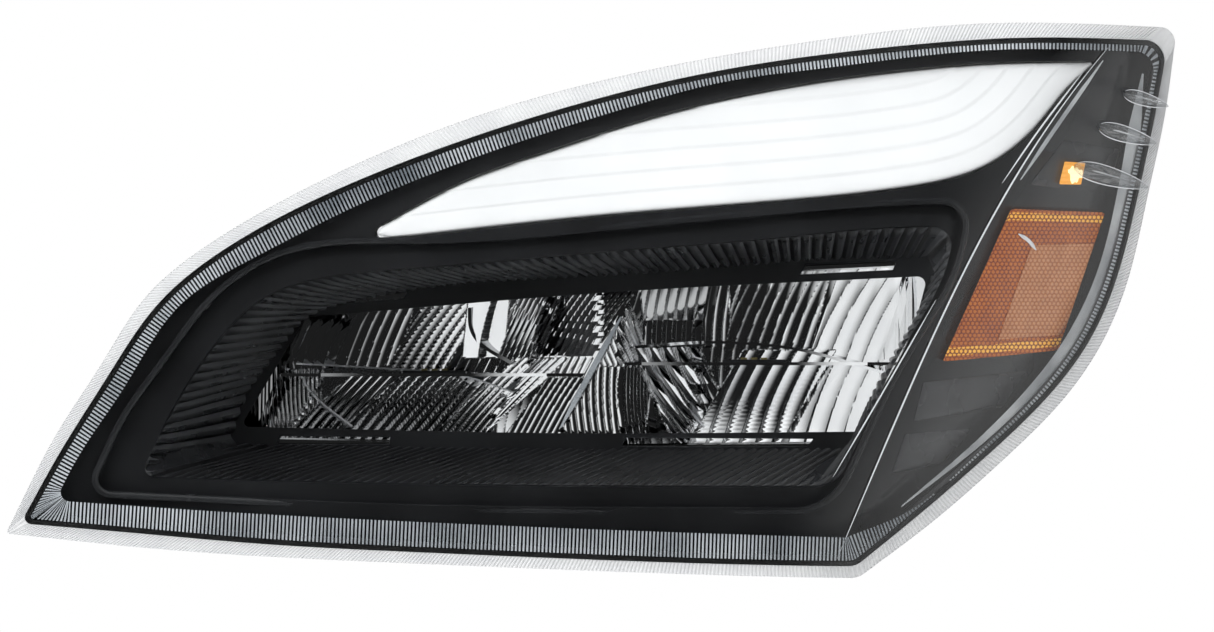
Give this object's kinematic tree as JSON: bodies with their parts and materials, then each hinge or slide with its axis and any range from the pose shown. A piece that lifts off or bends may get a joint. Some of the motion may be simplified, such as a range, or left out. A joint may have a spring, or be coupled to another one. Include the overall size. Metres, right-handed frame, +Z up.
{
  "type": "vehicle headlight assembly",
  "caption": "Swept vehicle headlight with a clear outer lens, black bezel, daytime light guide, aimed twin mirror bowls, amber side reflex and screw-on rear service caps.",
  "frame": {"origin": "centre of the rectangle of four rear mounting holes, on the plane of the mounting bosses' rear faces", "axes": "+X outboard along the lamp's width, +Y to the rear of the vehicle (the lens faces -Y), +Z up"},
  "size_m": [0.7377, 0.318, 0.3518],
  "materials": {
    "clear_lens": "clear polished polycarbonate",
    "sealant": "black sealant, satin",
    "housing_plastic": "black glass-filled polypropylene, fine grain",
    "bezel_plastic": "black moulded trim, satin",
    "panel_plastic": "smoked grey trim, semi-gloss",
    "guide_plastic": "milky clear acrylic",
    "tray_plastic": "white, diffuse",
    "board": "white solder mask",
    "chip": "yellow phosphor in a white frame",
    "mirror_coat": "vacuum aluminised, bright",
    "amber_plastic": "clear amber, prismatic back",
    "sink_metal": "extruded, satin",
    "driver_metal": "die-cast, matt",
    "carrier_plastic": "black glass-filled nylon",
    "screw_steel": "zinc plated",
    "nylon": "natural nylon",
    "screw_nylon": "white nylon, toothed head",
    "cap_plastic": "black polypropylene",
    "soft_rubber": "black, matt",
    "connector_plastic": "dark grey glass-filled nylon",
    "contact_metal": "tinned brass",
    "insert_metal": "knurled brass insert",
    "vent_plastic": "black, with a membrane inside"
  },
  "bodies": {
    "housing": {"housing": "housing_plastic", "lens": "clear_lens", "lens_seal": "sealant", "bezel": "bezel_plastic", "side_panel": "panel_plastic", "light_guide": "guide_plastic", "light_tray": "tray_plastic", "light_board": "board", "light_chips": "chip", "side_reflex": "amber_plastic", "marker_lens": "amber_plastic", "marker_board": "board", "driver_gasket": "soft_rubber", "led_driver": "driver_metal", "driver_screws": "screw_steel", "connector_socket": "connector_plastic", "connector_contacts": "contact_metal", "mount_inserts": "insert_metal", "locating_pin": "screw_steel", "vent_caps": "vent_plastic", "pivot_stud": "screw_steel", "aim_ring_seals": "soft_rubber"},
    "pivot": {"pivot_socket": "nylon"},
    "carrier": {"reflector_carrier": "carrier_plastic", "inner_reflector": "mirror_coat", "inner_light_board": "board", "inner_light_chips": "chip", "inner_heat_sink": "sink_metal", "outer_reflector": "mirror_coat", "outer_light_board": "board", "outer_light_chips": "chip", "outer_heat_sink": "sink_metal", "reflector_screws": "screw_steel"},
    "vertical_nut": {"vertical_aim_nut": "nylon"},
    "vertical_screw": {"vertical_aim_screw": "screw_nylon", "vertical_screw_clip": "screw_steel"},
    "horizontal_nut": {"horizontal_aim_nut": "nylon"},
    "horizontal_screw": {"horizontal_aim_screw": "screw_nylon", "horizontal_screw_clip": "screw_steel"},
    "inner_cap_ring": {"inner_cap_seal": "soft_rubber"},
    "inner_cap": {"inner_cap": "cap_plastic"},
    "outer_cap_ring": {"outer_cap_seal": "soft_rubber"},
    "outer_cap": {"outer_cap": "cap_plastic"}
  },
  "joints": [
    {"name": "horizontal_aim", "type": "hinge", "parent": "housing", "child": "pivot", "pos_m": [0, -0.092, -0.072], "axis": [0, 0, 1], "range_deg": [-1.5, 1.5]},
    {"name": "vertical_aim", "type": "hinge", "parent": "pivot", "child": "carrier", "pos_m": [0, -0.092, -0.072], "axis": [1, 0, 0], "range_deg": [-3, 3]},
    {"name": "vertical_nut_slide", "type": "slide", "parent": "housing", "child": "vertical_nut", "axis": [0, 1, 0], "range_m": [-0.0058, 0.0058]},
    {"name": "vertical_screw_turn", "type": "hinge", "parent": "housing", "child": "vertical_screw", "pos_m": [0, -0.03, 0.038], "axis": [0, 1, 0], "range_deg": [-692, 692]},
    {"name": "horizontal_nut_slide", "type": "slide", "parent": "housing", "child": "horizontal_nut", "axis": [0, 1, 0], "range_m": [-0.0025, 0.0025]},
    {"name": "horizontal_screw_turn", "type": "hinge", "parent": "housing", "child": "horizontal_screw", "pos_m": [-0.095, -0.03, -0.072], "axis": [0, 1, 0], "range_deg": [-299, 299]},
    {"name": "inner_cap_lift", "type": "slide", "parent": "housing", "child": "inner_cap_ring", "axis": [0, 1, 0], "range_m": [0, 0.03]},
    {"name": "inner_cap_turn", "type": "hinge", "parent": "inner_cap_ring", "child": "inner_cap", "pos_m": [-0.1, -0.014, -0.01], "axis": [0, 1, 0], "range_deg": [0, 200.5]},
    {"name": "outer_cap_lift", "type": "slide", "parent": "housing", "child": "outer_cap_ring", "axis": [0, 1, 0], "range_m": [0, 0.03]},
    {"name": "outer_cap_turn", "type": "hinge", "parent": "outer_cap_ring", "child": "outer_cap", "pos_m": [0.1, -0.014, -0.01], "axis": [0, 1, 0], "range_deg": [0, 200.5]}
  ],
  "couplings": [
    {"joint": "vertical_nut_slide", "follows": "vertical_aim", "m_per_rad": -0.11},
    {"joint": "vertical_screw_turn", "follows": "vertical_aim", "ratio": 230.38},
    {"joint": "horizontal_nut_slide", "follows": "horizontal_aim", "m_per_rad": -0.095},
    {"joint": "horizontal_screw_turn", "follows": "horizontal_aim", "ratio": 198.97},
    {"joint": "inner_cap_turn", "follows": "inner_cap_lift", "rad_per_m": 116.36},
    {"joint": "outer_cap_turn", "follows": "outer_cap_lift", "rad_per_m": 116.36}
  ]
}
